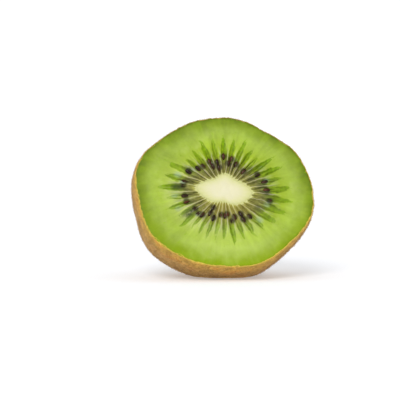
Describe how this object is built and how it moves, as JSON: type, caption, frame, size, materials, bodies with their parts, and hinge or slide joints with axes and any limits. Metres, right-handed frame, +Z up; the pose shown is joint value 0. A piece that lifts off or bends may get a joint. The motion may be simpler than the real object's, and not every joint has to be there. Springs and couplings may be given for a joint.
{
  "type": "kiwi fruit half",
  "caption": "Half of a kiwi fruit, cut across and lying on its brown skin, with the green cut face, its ring of dark seeds and its pale core leaning back.",
  "frame": {"origin": "under the middle of the fruit, on the surface it rests on", "axes": "+Z up; the cut face looks along -Y and 20 degrees up; +X runs across the cut face, to the right for someone who looks at it"},
  "size_m": [0.0542, 0.0444, 0.0484],
  "materials": {
    "flesh": "satin",
    "core": "satin",
    "skin": "matte",
    "seed": "gloss",
    "sepal": "matte"
  },
  "bodies": {
    "root": {"flesh_and_skin": "flesh", "core": "core"}
  },
  "joints": []
}
